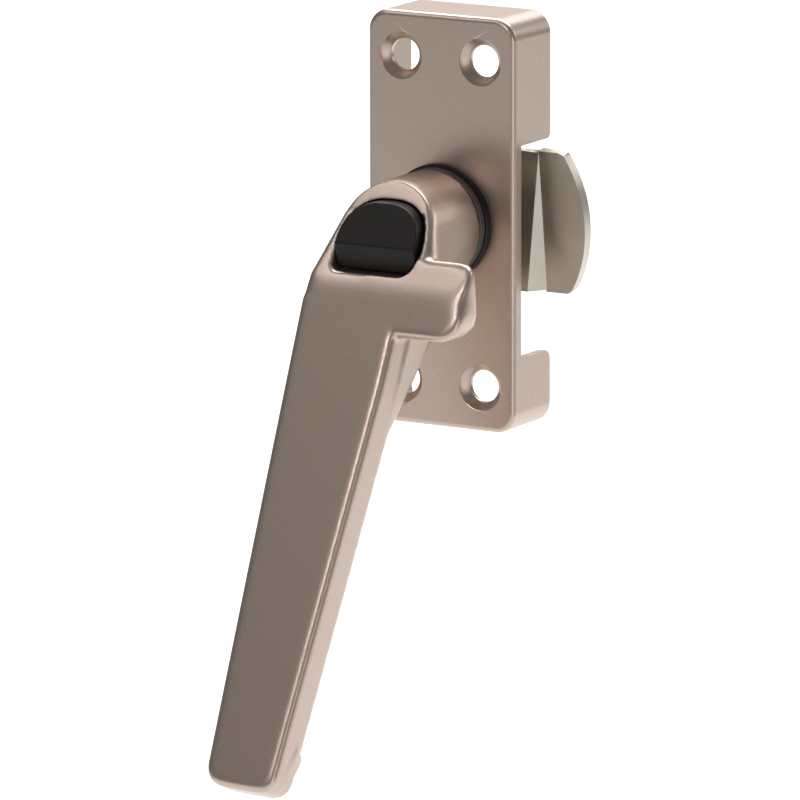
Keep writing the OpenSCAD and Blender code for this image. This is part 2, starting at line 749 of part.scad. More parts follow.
casing();
bearing_bush();
friction_ring();
lock_plate();
lock_plate_rivets();
handle();
spindle();
handle_cross_pin();
button_keeper_pin();
thrust_washer();
wave_washer();
spacer();
tongue();
tongue_washer();
split_washer();
tongue_screw();
push_button();
lock_pin();
lock_collar();
button_spring();
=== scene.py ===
"""Looks of a window lock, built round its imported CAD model.

Lengths are in metres in the row frame: X to the right seen from the room, -Y towards the
room, Z up, with the origin on the spindle axis in the mounting plane. The handle and the
button get a soft skin made from their CAD nodes and brought nearer to the photograph, the
spring is wound along a helix, and every other piece is its CAD mesh with rounded edges.
"""
import math

import bmesh
import bpy
from bpy.props import FloatProperty, FloatVectorProperty, IntProperty, PointerProperty
from mathutils import Matrix, Vector


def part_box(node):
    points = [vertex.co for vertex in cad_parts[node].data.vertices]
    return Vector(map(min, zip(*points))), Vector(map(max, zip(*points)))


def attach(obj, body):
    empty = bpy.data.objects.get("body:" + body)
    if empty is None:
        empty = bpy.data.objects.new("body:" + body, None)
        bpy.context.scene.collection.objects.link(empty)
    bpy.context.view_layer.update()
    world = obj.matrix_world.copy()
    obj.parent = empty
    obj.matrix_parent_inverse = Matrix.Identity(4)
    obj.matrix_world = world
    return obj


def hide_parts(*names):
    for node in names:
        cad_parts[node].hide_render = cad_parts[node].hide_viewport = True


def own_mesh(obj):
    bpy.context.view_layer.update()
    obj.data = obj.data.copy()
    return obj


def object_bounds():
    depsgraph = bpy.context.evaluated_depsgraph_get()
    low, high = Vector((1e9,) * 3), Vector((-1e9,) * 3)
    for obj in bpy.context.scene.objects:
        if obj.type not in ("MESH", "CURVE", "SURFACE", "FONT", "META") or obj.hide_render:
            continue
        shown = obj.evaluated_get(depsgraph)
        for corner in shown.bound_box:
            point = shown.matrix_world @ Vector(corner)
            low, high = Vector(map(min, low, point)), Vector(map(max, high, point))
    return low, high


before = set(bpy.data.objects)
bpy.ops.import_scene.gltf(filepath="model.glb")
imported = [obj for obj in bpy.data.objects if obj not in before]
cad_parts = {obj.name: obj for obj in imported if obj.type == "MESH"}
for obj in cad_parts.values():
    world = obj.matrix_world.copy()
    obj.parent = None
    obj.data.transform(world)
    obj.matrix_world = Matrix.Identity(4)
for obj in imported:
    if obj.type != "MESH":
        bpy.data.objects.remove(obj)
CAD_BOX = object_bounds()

bl_info = {
    "name": "Window Lock",
    "version": (1, 0, 0),
    "blender": (4, 5, 0),
    "location": "View3D > Sidebar > Lock",
    "description": "Builds a window lock with a lever handle round its CAD model",
    "category": "Object",
}

MM = 0.001
FINISH = "_finish"      # keeps these materials apart from the CAD nodes' own
SAME_CORNER = 2e-6      # corners of a CAD mesh that are nearer than this are one
SHARP_ANGLE = math.radians(35.0)    # faces that meet at more than this have a sharp edge

# The CAD handle and button, in millimetres. A height is measured from the mounting plane
# towards the room. Down is the distance below the ridge along the lever, and depth is the
# distance behind the lever's front face.
LEVER_TILT = math.radians(22.8)
SLOPE_TILT = math.radians(33.0)
RIDGE = (-7.6, 39.0)            # Z and height of the line where lever and sloping face meet
LEVER_LEFT = -12.75             # X of the lever's left edge
LEVER_RIGHT = (7.85, 1.0)       # X of its right edge at the ridge and at its end
LEVER_LENGTH = 91.3
LEVER_DEPTH = 7.6
WING_FOOT = -17.0               # Z of the wing's lower end
BUTTON_FACE = ((-10.6, 35.1), (-0.7, 35.6), (6.05, 30.14))  # Z and height along its head

# What the skins change, in millimetres. The comment of a pair says what it is a stretch of,
# and the change sets in along that stretch, or dies out along it where the comment says so.
BUTTON_RAISED = ((-10.6, 33.7), (-0.7, 36.4), (6.05, 32.3))     # the head's new face
BUTTON_FOOT = 29.6              # height that the head is reshaped from
BUTTON_GROWTH_X = 1.055         # the head's growth, which narrows the gap round it
BUTTON_GROWTH_Z = 1.065

LEVER_START = (4.0, 20.0)       # down
LEVER_WIDER = 0.5               # at the right edge
LEVER_THINNER = 0.5             # at the back
LIP_DEEPER = 0.9
LIP_DEPTH = (4.0, 7.0)          # depth
LIP_NEAR = (4.0, 7.0)           # distance from the lever's end
LIP_FAR = (7.6, 8.6)            # the same distance, dies out
TIP_START = (50.0, LEVER_LENGTH)    # down
TIP_SHORTER = 1.2               # at the left edge
TIP_SLANT = 0.5                 # less of that at the right edge
TIP_BOW = 0.3                   # less of that in the middle

WING_PROUD = 0.15               # share that is kept of what stands in front of the slope
WING_BACK = 1.2                 # how far the wing's rear is set back
WING_ROOT = (9.5, 11.5)         # X
WING_REAR = (34.8, 36.3)        # height, dies out

# Where the skins are softened further, in millimetres, as stretches like those above
SOFT_RIDGE = 0.6                # down to the middle of the soft ridge
SOFT_RIDGE_SIDE = (0.8, 2.6)    # distance from that middle, dies out
SOFT_RIDGE_DEPTH = (2.0, 4.0)   # depth, dies out
SOFT_WING_RIGHT = (16.2, 18.6)  # X
SOFT_WING_DEPTH = (3.0, 6.0)    # depth, dies out
SOFT_WING_DOWN = (12.0, 18.0)   # down, dies out
SOFT_RIM_RADIUS = (8.9, 9.8)    # distance from the spindle axis
SOFT_RIM_UP = (-7.0, -5.0)      # Z
SOFT_RIM_BEHIND = (1.5, 4.0)    # distance behind the sloping face, dies out
SOFT_RIM_RIGHT = (10.5, 12.0)   # X, dies out

TURN_POINTS = 48                # points of the spring's helix in one turn
CLOSED_RISE = 1.89              # rise of the closed turns at an end, in radii of the wire

WHITE = (1.0, 1.0, 1.0)
WARM = (1.0, 0.985, 0.97)

# Name, place, point it faces, width, height, watts and colour of each lamp
LAMPS = (
    ("lamp_back", (-0.6, 1.8, 2.4), (-0.6, 1.6, -0.3), 3.0, 2.0, 160.0, WHITE),
    ("lamp_top", (-0.1, 0.35, 1.15), (0.0, 0.0, 0.0), 0.5, 0.4, 5.0, WARM),
    ("lamp_right", (0.85, 0.8, 0.5), (0.0, 0.0, 0.0), 0.6, 0.5, 2.4, WARM),
    ("lamp_edge", (0.95, -0.75, -0.1), (0.0, 0.0, -0.02), 0.2, 0.7, 1.8, WARM),
    ("lamp_front", (-0.29, -0.49, -0.2), (0.0, 0.0, -0.03), 0.3, 0.14, 0.12, WARM),
    ("lamp_high", (-0.52, -0.55, 0.8), (0.0, 0.0, 0.0), 0.5, 0.12, 1.1, WARM),
    ("lamp_over", (0.0, -0.86, 0.5), (0.0, 0.0, 0.0), 0.2, 0.2, 1.4, WARM),
)


# Property groups

def colour(name, value, description):
    """A colour picker property with a default given as linear red, green and blue."""
    return FloatVectorProperty(name=name, description=description, subtype="COLOR", size=3,
                               min=0.0, max=1.0, default=value)


def factor(name, value, description):
    """A slider property from 0 to 1."""
    return FloatProperty(name=name, description=description, subtype="FACTOR",
                         min=0.0, max=1.0, default=value)


class SkinSettings(bpy.types.PropertyGroup):
    """How the skins of the pieces are made from their CAD nodes."""
    cast_voxel: FloatProperty(
        name="Cast detail", description="Size of the cells the handle's skin is made from",
        default=0.00036, min=0.0002, max=0.001, precision=5, unit="LENGTH")
    cast_steps: IntProperty(
        name="Cast rounding", description="Passes that round the handle's edges",
        default=8, min=0, max=30)
    ridge_steps: IntProperty(
        name="Ridge rounding", description="Passes that round the ridge above the lever",
        default=90, min=0, max=200)
    wing_steps: IntProperty(
        name="Wing rounding", description="Passes that round the wing's front corner",
        default=40, min=0, max=200)
    arch_steps: IntProperty(
        name="Arch rounding", description="Passes that round the rim of the sloping face",
        default=14, min=0, max=200)
    button_voxel: FloatProperty(
        name="Button detail", description="Size of the cells the button's skin is made from",
        default=0.00016, min=0.0001, max=0.0005, precision=5, unit="LENGTH")
    button_steps: IntProperty(
        name="Button rounding", description="Passes that round the button's edges",
        default=4, min=0, max=30)
    casing_edge: FloatProperty(
        name="Casing edge", description="Width of the small round on the casing's sharp edges",
        default=0.00025, min=0.0, max=0.0005, precision=5, unit="LENGTH")
    sheet_edge: FloatProperty(
        name="Sheet edge", description="Width of the round on the tongue's pressed edges",
        default=0.0003, min=0.0, max=0.0006, precision=5, unit="LENGTH")
    small_edge: FloatProperty(
        name="Small edge", description="Width of the round on the edges of the small pieces",
        default=0.00005, min=0.0, max=0.0001, precision=5, unit="LENGTH")


class FinishSettings(bpy.types.PropertyGroup):
    """Colours and gloss of the finishes."""
    coating: colour("Coating", (0.5, 0.41, 0.353), "Metallic coating of casing and handle")
    coating_roughness: factor("Coating roughness", 0.37, "Roughness of the coating")
    coating_metal: factor("Coating metal", 1.0, "How metallic the coating looks")
    flake: FloatProperty(
        name="Flakes", description="How many times brighter the coating's flakes are",
        subtype="FACTOR", default=2.0, min=1.0, max=4.0)
    plastic: colour("Plastic", (0.0045, 0.0035, 0.003), "Black plastic of button and bush")
    plastic_roughness: factor("Plastic roughness", 0.42, "Roughness of the black plastic")
    plastic_gloss: factor("Plastic gloss", 0.25, "How much light its surface reflects")
    rubber: colour("Rubber", (0.06, 0.05, 0.046), "Black friction ring")
    rubber_roughness: factor("Rubber roughness", 0.5, "Roughness of the rubber")
    zinc: colour("Zinc plate", (0.58, 0.57, 0.54), "Plated steel inside the casing")
    passivated: colour("Passivated steel", (0.53, 0.5, 0.435), "Yellowish plate of the tongue")
    spring: colour("Spring steel", (0.32, 0.32, 0.32), "Drawn wire and split washer")


class SpringSettings(bpy.types.PropertyGroup):
    """The button's return spring."""
    wire: FloatProperty(name="Wire", description="Radius of the wire", default=0.0003,
                        min=0.0001, max=0.0004, precision=5, unit="LENGTH")
    turns: IntProperty(name="Turns", description="Number of turns", default=5, min=3, max=9)
    closed: FloatProperty(name="Closed turns", description="Turns lying flat at each end",
                          default=1.0, min=0.5, max=1.5)


class StageSettings(bpy.types.PropertyGroup):
    """Camera, floor and even light. The camera stands where the photograph was taken from."""
    azimuth: FloatProperty(name="Azimuth", description="Camera's angle to the right",
                           default=math.radians(30.50), subtype="ANGLE")
    elevation: FloatProperty(name="Elevation", description="Camera's angle above the horizon",
                             default=math.radians(11.52), subtype="ANGLE")
    roll: FloatProperty(name="Roll", description="Camera's turn about its own axis",
                        default=math.radians(-0.11), subtype="ANGLE")
    distance: FloatProperty(name="Distance", description="Camera to the front face",
                            default=1.522, min=0.2, unit="LENGTH")
    shift_side: FloatProperty(name="Sideways", description="Camera's move to the right",
                              default=-0.00727, precision=5, unit="LENGTH")
    shift_up: FloatProperty(name="Upwards", description="Camera's move along its up axis",
                            default=-0.03166, precision=5, unit="LENGTH")
    lens: FloatProperty(name="Lens", description="Focal length in millimetres for a 36 mm frame",
                        default=385.74, min=10.0, max=1000.0)
    floor_drop: FloatProperty(name="Floor drop", description="Floor's depth below the object",
                              default=0.25, min=0.0, unit="LENGTH")
    floor_size: FloatProperty(name="Floor size", description="Length of the floor's sides",
                              default=12.0, min=1.0, unit="LENGTH")
    floor: colour("Floor", (0.86, 0.86, 0.86), "Plain floor")
    sky: colour("Surroundings", (1.0, 0.965, 0.935), "Even light from the studio's walls")
    sky_strength: FloatProperty(name="Surroundings strength", description="Their brightness",
                                default=0.19, min=0.0, max=5.0)


# Helpers for node trees

class Graph:
    """Adds nodes to a tree and links them as they are added."""

    def __init__(self, tree):
        self.tree = tree

    def feed(self, node, inputs):
        """Gives each named input of a node its value, or links it to an output socket."""
        for key, value in inputs.items():
            if isinstance(value, bpy.types.NodeSocket):
                self.tree.links.new(value, node.inputs[key])
            else:
                node.inputs[key].default_value = value

    def add(self, kind, inputs=None, **settings):
        """One node, with its settings and then its inputs."""
        made = self.tree.nodes.new(kind)
        made.location = (200 * len(self.tree.nodes), 0)
        for key, value in settings.items():
            setattr(made, key, value)
        self.feed(made, inputs or {})
        return made

    def math(self, operation, a, b, clamp=False):
        """The result of one arithmetic step."""
        return self.add("ShaderNodeMath", {0: a, 1: b}, operation=operation,
                        use_clamp=clamp).outputs[0]

    def blend(self, first, second, share, clamp=False):
        """Two values in one, the first with that share and the second with the rest."""
        return self.math("ADD", self.math("MULTIPLY", first, share),
                         self.math("MULTIPLY", second, 1 - share), clamp)

    def point(self):
        """The place on the piece, in metres."""
        return self.add("ShaderNodeTexCoord").outputs["Object"]

    def group(self, tree):
        """The outputs of a node group, whose node is made once in each material."""
        for old in self.tree.nodes:
            if old.type == "GROUP" and old.node_tree == tree:
                return old.outputs
        made = self.add("ShaderNodeGroup")
        made.node_tree = tree
        return made.outputs


def shader_group(name, outputs):
    """An empty shader node group with these outputs, as (graph, output node)."""
    tree = bpy.data.node_groups.new(name, "ShaderNodeTree")
    for label, kind in outputs:
        tree.interface.new_socket(label, in_out="OUTPUT", socket_type=kind)
    graph = Graph(tree)
    return graph, graph.add("NodeGroupOutput")


def coating_group():
    """Powder coat with fine metal flakes: a brightness, and a normal with a slight peel."""
    graph, out = shader_group("coating", (("Flake", "NodeSocketFloat"),
                                          ("Normal", "NodeSocketVector")))
    point = graph.point()
    cells = graph.add("ShaderNodeTexVoronoi", {"Vector": point, "Scale": 5200.0})
    pick = graph.add("ShaderNodeSeparateColor", {"Color": cells.outputs["Color"]})
    rare = graph.add("ShaderNodeMapRange", {"Value": pick.outputs[0], "From Min": 0.972,
                                            "From Max": 1.0, "To Min": 0.0, "To Max": 1.0})
    near = graph.add("ShaderNodeMapRange", {"Value": cells.outputs["Distance"],
                                            "From Min": 0.25, "From Max": 0.5,
                                            "To Min": 1.0, "To Max": 0.0})
    flake = graph.math("MULTIPLY", rare.outputs[0], near.outputs[0])
    fine = graph.add("ShaderNodeTexNoise", {"Vector": point, "Scale": 2600.0, "Detail": 1.0})
    peel = graph.add("ShaderNodeTexNoise", {"Vector": point, "Scale": 260.0, "Detail": 2.0})
    height = graph.blend(fine.outputs[0], peel.outputs[0], share=0.35)
    bump = graph.add("ShaderNodeBump", {"Strength": 0.12, "Distance": 0.00006,
                                        "Height": height})
    graph.feed(out, {"Flake": flake, "Normal": bump.outputs[0]})
    return graph.tree


def grain_group():
    """Fine grain of moulded plastic, as a normal."""
    graph, out = shader_group("moulded_grain", (("Normal", "NodeSocketVector"),))
    noise = graph.add("ShaderNodeTexNoise", {"Vector": graph.point(), "Scale": 3200.0,
                                             "Detail": 2.0})
    bump = graph.add("ShaderNodeBump", {"Strength": 0.25, "Distance": 0.00004,
                                        "Height": noise.outputs[0]})
    graph.feed(out, {"Normal": bump.outputs[0]})
    return graph.tree


def plate_group():
    """Thin cloudy plating on steel: a tint from 0 to 1, a roughness and a brushed normal."""
    graph, out = shader_group("plating", (("Tint", "NodeSocketFloat"),
                                          ("Roughness", "NodeSocketFloat"),
                                          ("Normal", "NodeSocketVector")))
    point = graph.point()
    stretch = graph.add("ShaderNodeMapping", {"Vector": point, "Scale": (900.0, 900.0, 130.0)})
    brush = graph.add("ShaderNodeTexNoise", {"Vector": stretch.outputs[0], "Scale": 1.0,
                                             "Detail": 3.0})
    cloud = graph.add("ShaderNodeTexNoise", {"Vector": point, "Scale": 210.0, "Detail": 3.0})
    tint = graph.blend(cloud.outputs[0], brush.outputs[0], share=0.75, clamp=True)
    rough = graph.add("ShaderNodeMapRange", {"Value": brush.outputs[0], "From Min": 0.3,
                                             "From Max": 0.7, "To Min": 0.3, "To Max": 0.44})
    bump = graph.add("ShaderNodeBump", {"Strength": 0.10, "Distance": 0.00005,
                                        "Height": brush.outputs[0]})
    graph.feed(out, {"Tint": tint, "Roughness": rough.outputs[0], "Normal": bump.outputs[0]})
    return graph.tree


# Materials

def material(name, inputs):
    """A Principled material; an input may be a value, or a function of the material's graph."""
    made = bpy.data.materials.new(name + FINISH)
    made.use_nodes = True
    graph = Graph(made.node_tree)
    shader = made.node_tree.nodes["Principled BSDF"]
    for key, value in inputs.items():
        graph.feed(shader, {key: value(graph) if callable(value) else value})
    return made


def rgba(rgb, brightness=1.0):
    """A colour with its brightness changed and full alpha."""
    return (*(min(1.0, part * brightness) for part in rgb), 1.0)


def mixed(graph, share, low, high):
    """A colour between two, by a value from 0 to 1."""
    # A colour mix takes its colours in inputs 6 and 7 and gives one in output 2
    mix = graph.add("ShaderNodeMix", {0: share, 6: low, 7: high}, data_type="RGBA")
    return mix.outputs[2]


def plated_steel(name, plate, rgb, contrast):
    """A finish of cloudy plate, whose colour varies by a share of its brightness."""
    return material(name, {
        "Base Color": lambda g: mixed(g, g.group(plate)["Tint"], rgba(rgb, 1 - contrast),
                                      rgba(rgb, 1 + contrast)),
        "Metallic": 1.0,
        "Roughness": lambda g: g.group(plate)["Roughness"],
        "Normal": lambda g: g.group(plate)["Normal"],
    })


def make_materials(finish):
    """Every finish, under the name of the slot that it is for."""
    coat, grain, plate = coating_group(), grain_group(), plate_group()
    material("coated_casting", {
        "Base Color": lambda g: mixed(g, g.group(coat)["Flake"], rgba(finish.coating),
                                      rgba(finish.coating, finish.flake)),
        "Metallic": finish.coating_metal,
        "Roughness": finish.coating_roughness,
        "Normal": lambda g: g.group(coat)["Normal"],
    })
    material("black_plastic", {
        "Base Color": rgba(finish.plastic),
        "Roughness": finish.plastic_roughness,
        "Specular IOR Level": finish.plastic_gloss,
        "Normal": lambda g: g.group(grain)["Normal"],
    })
    material("black_rubber", {
        "Base Color": rgba(finish.rubber),
        "Roughness": finish.rubber_roughness,
        "Normal": lambda g: g.group(grain)["Normal"],
    })
    plated_steel("zinc_steel", plate, finish.zinc, contrast=0.08)
    plated_steel("passivated_steel", plate, finish.passivated, contrast=0.16)
    plated_steel("spring_steel", plate, finish.spring, contrast=0.05)


def finish_of(slot):
    """A slot's finish, once make_materials has made it."""
    made = bpy.data.materials.get(slot + FINISH)
    if made is None:
        raise RuntimeError("the finishes are made before the pieces: " + slot)
    return made


# Helpers for pieces

def add_object(name, data):
    """An object of the scene with that mesh, camera or light."""
    made = bpy.data.objects.new(name, data)
    bpy.context.scene.collection.objects.link(made)
    return made


def node_mesh(node, name):
    """A copy of a CAD node's mesh with its doubled corners joined."""
    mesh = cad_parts[node].data.copy()
    mesh.name = name
    grid = bmesh.new()
    grid.from_mesh(mesh)
    bmesh.ops.remove_doubles(grid, verts=grid.verts, dist=SAME_CORNER)
    grid.to_mesh(mesh)
    grid.free()
    if mesh.attributes.get("custom_normal"):
        mesh.attributes.remove(mesh.attributes["custom_normal"])
    return mesh


def shade_smooth(made):
    """Shades an object's faces as one smooth surface."""
    for face in made.data.polygons:
        face.use_smooth = True


def bake(made):
    """Turns an object's modifiers into its mesh."""
    depsgraph = bpy.context.evaluated_depsgraph_get()
    mesh = bpy.data.meshes.new_from_object(made.evaluated_get(depsgraph))
    made.modifiers.clear()
    old = made.data
    made.data = mesh
    mesh.name = made.name
    bpy.data.meshes.remove(old)


def finish_piece(made, node, body, slot):
    """Gives a piece its slot's finish, hangs it under its body's empty and hides its CAD node.
    """
    made.data.materials.clear()
    made.data.materials.append(finish_of(slot))
    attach(made, body)
    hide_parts(node)


def rounded_skin(name, node, voxel, steps, tilt=0.0):
    """A CAD node's shape with every edge softly rounded; tilt lines the cells up with it."""
    mesh = node_mesh(node, name)
    turn = Matrix.Rotation(tilt, 4, "X")
    mesh.transform(turn)
    made = add_object(name, mesh)
    cells = made.modifiers.new("cells", "REMESH")
    cells.mode = "VOXEL"
    cells.voxel_size = voxel
    if steps:
        smooth = made.modifiers.new("smooth", "SMOOTH")
        smooth.iterations = steps
        smooth.factor = 0.5
    bake(made)
    made.data.transform(turn.inverted())
    shade_smooth(made)
    return made


def bevelled(name, node, width, segments=3):
    """A CAD node's own shape with its sharp edges rounded by a fixed width."""
    made = add_object(name, node_mesh(node, name))
    shade_smooth(made)
    edge = made.modifiers.new("edge", "BEVEL")
    edge.limit_method = "ANGLE"
    edge.angle_limit = SHARP_ANGLE
    edge.width = width
    edge.segments = segments
    edge.use_clamp_overlap = True
    normals = made.modifiers.new("normals", "WEIGHTED_NORMAL")
    normals.keep_sharp = False
    bake(made)
    return made


def reshape(made, change):
    """Moves every corner of a skin by a function of its place."""
    for corner in made.data.vertices:
        corner.co = change(corner.co)


def soften(made, weight, passes):
    """Rounds a skin further where the weight of a point's place is above 0."""
    group = made.vertex_groups.new(name="soft")
    for corner in made.data.vertices:
        share = weight(corner.co)
        if share > 0:
            group.add([corner.index], share, "REPLACE")
    smooth = made.modifiers.new("smooth", "SMOOTH")
    smooth.vertex_group = group.name
    smooth.iterations = passes
    bake(made)


# Places on the handle and the button, in millimetres

def rise(at, stretch):
    """A smooth rise from 0 at a stretch's first number to 1 at its second."""
    low, high = stretch
    share = min(1.0, max(0.0, (at - low) / (high - low)))
    return share * share * (3 - 2 * share)


def fall(at, stretch):
    """A smooth fall from 1 at a stretch's first number to 0 at its second."""
    return 1 - rise(at, stretch)


def height_along(line, z):
    """The height at a Z of a bent line through points of Z and height."""
    for (low, start), (high, end) in zip(line, line[1:]):
        if z <= high or high == line[-1][0]:
            return start + (end - start) * (z - low) / (high - low)


def slope_height(z):
    """The height of the sloping face's plane at a Z."""
    return RIDGE[1] - (z - RIDGE[0]) * math.tan(SLOPE_TILT)


def place_of(point):
    """A point's X, Z and height."""
    return point.x / MM, point.z / MM, -point.y / MM


def point_at(x, z, height):
    """The point at an X, Z and height."""
    return Vector((x, -height, z)) * MM


def lever_place(point):
    """How far down the lever a point is, and its depth."""
    x, z, height = place_of(point)
    up, out = z - RIDGE[0], height - RIDGE[1]
    return (out * math.sin(LEVER_TILT) - up * math.cos(LEVER_TILT),
            -up * math.sin(LEVER_TILT) - out * math.cos(LEVER_TILT))


def lever_point(x, down, depth):
    """The point at an X, a distance down the lever and a depth."""
    up = -down * math.cos(LEVER_TILT) - depth * math.sin(LEVER_TILT) + RIDGE[0]
    out = down * math.sin(LEVER_TILT) - depth * math.cos(LEVER_TILT) + RIDGE[1]
    return point_at(x, up, out)


# Changes of shape, as functions of a point

def fuller_button(point):
    """Raises the button's head to its real profile and closes the gap round it a little."""
    x, z, height = place_of(point)
    if height > BUTTON_FOOT:
        old, new = height_along(BUTTON_FACE, z), height_along(BUTTON_RAISED, z)
        height += (new - old) * min(1.0, (height - BUTTON_FOOT) / (old - BUTTON_FOOT))
        x, z = BUTTON_GROWTH_X * x, BUTTON_GROWTH_Z * z
    return point_at(x, z, height)


def lever_shape(point):
    """Brings the lever to the real one's depth, right edge, lip and rounded end."""
    down, depth = lever_place(point)
    if down <= LEVER_START[0]:
        return point
    x = point.x / MM
    right = LEVER_RIGHT[0] + (LEVER_RIGHT[1] - LEVER_RIGHT[0]) * down / LEVER_LENGTH
    across = min(1.0, max(0.0, (x - LEVER_LEFT) / (right - LEVER_LEFT)))
    share = rise(down, LEVER_START)
    x += LEVER_WIDER * share * across
    depth -= LEVER_THINNER * share * min(1.0, max(0.0, depth / LEVER_DEPTH))
    end = LEVER_LENGTH - down
    depth += LIP_DEEPER * rise(depth, LIP_DEPTH) * rise(end, LIP_NEAR) * fall(end, LIP_FAR)
    bow = 1 - (2 * across - 1) ** 2
    down -= rise(down, TIP_START) * (TIP_SHORTER - TIP_SLANT * across - TIP_BOW * bow)
    return lever_point(x, down, depth)


def wing_shape(point):
    """Lays the wing's upper front in the sloping face's plane, and sets its rear back."""
    x, z, height = place_of(point)
    slope = slope_height(z)
    if z > RIDGE[0] and height > slope:
        height = slope + WING_PROUD * (height - slope)
    if z > WING_FOOT:
        height -= WING_BACK * rise(x, WING_ROOT) * fall(height, WING_REAR)
    return point_at(x, z, height)


# How much a point belongs to a softened edge, from 0 to 1

def on_ridge(point):
    """The ridge between lever and sloping face."""
    down, depth = lever_place(point)
    return fall(abs(down - SOFT_RIDGE), SOFT_RIDGE_SIDE) * fall(depth, SOFT_RIDGE_DEPTH)


def on_wing(point):
    """The wing's front corner."""
    down, depth = lever_place(point)
    return (rise(point.x / MM, SOFT_WING_RIGHT) * fall(depth, SOFT_WING_DEPTH)
            * fall(down, SOFT_WING_DOWN))


def on_arch(point):
    """The outer rim of the sloping face."""
    x, z, height = place_of(point)
    return (rise(math.hypot(x, max(z, 0.0)), SOFT_RIM_RADIUS) * rise(z, SOFT_RIM_UP)
            * fall(slope_height(z) - height, SOFT_RIM_BEHIND) * fall(x, SOFT_RIM_RIGHT))


# The spring

def set_pitch(mapping, closed, low_rise):
    """Draws a curve from 0 to 1 that rises little over a closed share at either end."""
    points = mapping.curves[0].points
    points[0].location = (0.0, 0.0)
    points[1].location = (1.0, 1.0)
    points.new(closed, low_rise)
    points.new(1 - closed, 1 - low_rise)
    mapping.update()


def wound_spring(name, low, high, setting):
    """A round wire along a helix about Y, wound by a node tree inside the given box."""
    tree = bpy.data.node_groups.new(name, "GeometryNodeTree")
    tree.interface.new_socket("Geometry", in_out="OUTPUT", socket_type="NodeSocketGeometry")
    graph = Graph(tree)
    count = setting.turns * TURN_POINTS
    length = (high[1] - low[1]) - 2 * setting.wire
    radius = (high[0] - low[0]) / 2 - setting.wire
    centre = ((low[0] + high[0]) / 2, 0.0, (low[2] + high[2]) / 2)
    line = graph.add("GeometryNodeMeshLine", {"Count": count + 1})
    index = graph.add("GeometryNodeInputIndex").outputs[0]
    share = graph.math("DIVIDE", index, float(count))
    angle = graph.math("MULTIPLY", share, 2 * math.pi * setting.turns)
    pitch = graph.add("ShaderNodeFloatCurve", {"Value": share})
    set_pitch(pitch.mapping, setting.closed / setting.turns,
              CLOSED_RISE * setting.wire / length)
    across = graph.math("MULTIPLY", graph.math("COSINE", angle, 0.0), radius)
    up = graph.math("MULTIPLY", graph.math("SINE", angle, 0.0), radius)
    along = graph.math("ADD", graph.math("MULTIPLY", pitch.outputs[0], -length),
                       high[1] - setting.wire)
    place = graph.add("ShaderNodeCombineXYZ", {0: across, 1: along, 2: up})
    place = graph.add("ShaderNodeVectorMath", {0: place.outputs[0], 1: centre},
                      operation="ADD")
    moved = graph.add("GeometryNodeSetPosition", {"Geometry": line.outputs[0],
                                                  "Position": place.outputs[0]})
    path = graph.add("GeometryNodeMeshToCurve", {"Mesh": moved.outputs[0]})
    ring = graph.add("GeometryNodeCurvePrimitiveCircle", {"Resolution": 16,
                                                          "Radius": setting.wire})
    wire = graph.add("GeometryNodeCurveToMesh", {"Curve": path.outputs[0],
                                                 "Profile Curve": ring.outputs[0],
                                                 "Fill Caps": True})
    smooth = graph.add("GeometryNodeSetShadeSmooth", {"Geometry": wire.outputs[0]})
    metal = graph.add("GeometryNodeSetMaterial", {"Geometry": smooth.outputs[0],
                                                  "Material": finish_of("spring_steel")})
    graph.add("NodeGroupOutput", {"Geometry": metal.outputs[0]})
    made = add_object(name, bpy.data.meshes.new(name))
    made.modifiers.new("winding", "NODES").node_group = tree
    bake(made)
    return made


# The stage

def camera_matrix(stage):
    """The place and turn of the camera, worked out from the front face of the casing."""
    azimuth, elevation, roll = stage.azimuth, stage.elevation, stage.roll
    right = Vector((math.cos(azimuth), math.sin(azimuth), 0.0))
    ahead = Vector((-math.sin(azimuth) * math.cos(elevation),
                    math.cos(azimuth) * math.cos(elevation), -math.sin(elevation)))
    up = right.cross(ahead)
    front = Vector((0.0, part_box("casing")[0][1], 0.0))
    eye = front - ahead * stage.distance + right * stage.shift_side + up * stage.shift_up
    side = math.cos(roll) * right + math.sin(roll) * up
    top = math.cos(roll) * up - math.sin(roll) * right
    turn = Matrix((side, top, -ahead)).transposed().to_4x4()
    return Matrix.Translation(eye) @ turn


def add_camera(stage):
    """The camera that sees the object as the photograph does."""
    lens = bpy.data.cameras.new("camera")
    lens.lens = stage.lens
    lens.sensor_width = 36.0
    lens.clip_end = 50.0
    camera = add_object("camera", lens)
    camera.matrix_world = camera_matrix(stage)
    bpy.context.scene.camera = camera


def add_floor(stage):
    """A plain floor below the object."""
    bpy.ops.mesh.primitive_plane_add(
        size=stage.floor_size, location=(0.0, 0.0, CAD_BOX[0][2] - stage.floor_drop))
    floor = bpy.context.object
    floor.name = "floor"
    floor.data.materials.append(material("floor", {"Base Color": rgba(stage.floor),
                                                   "Roughness": 0.9}))


def add_lamp(name, place, aim, width, height, watts, tone):
    """A rectangular lamp at a place, facing a point."""
    light = bpy.data.lights.new(name, "AREA")
    light.shape = "RECTANGLE"
    light.size, light.size_y = width, height
    light.energy = watts
    light.color = tone
    lamp = add_object(name, light)
    lamp.location = place
    ahead = Vector(aim) - Vector(place)
    lamp.rotation_euler = ahead.to_track_quat("-Z", "Y").to_euler()


def add_sky(stage):
    """Even light from all sides."""
    world = bpy.data.worlds.new("studio")
    world.use_nodes = True
    sky = world.node_tree.nodes["Background"]
    sky.inputs["Color"].default_value = rgba(stage.sky)
    sky.inputs["Strength"].default_value = stage.sky_strength
    bpy.context.scene.world = world


# Operators

class LOCK_OT_finishes(bpy.types.Operator):
    """Make the finishes of every piece"""
    bl_idname = "lock.finishes"
    bl_label = "Finishes"

    def execute(self, context):
        make_materials(context.scene.lock_finish)
        return {"FINISHED"}


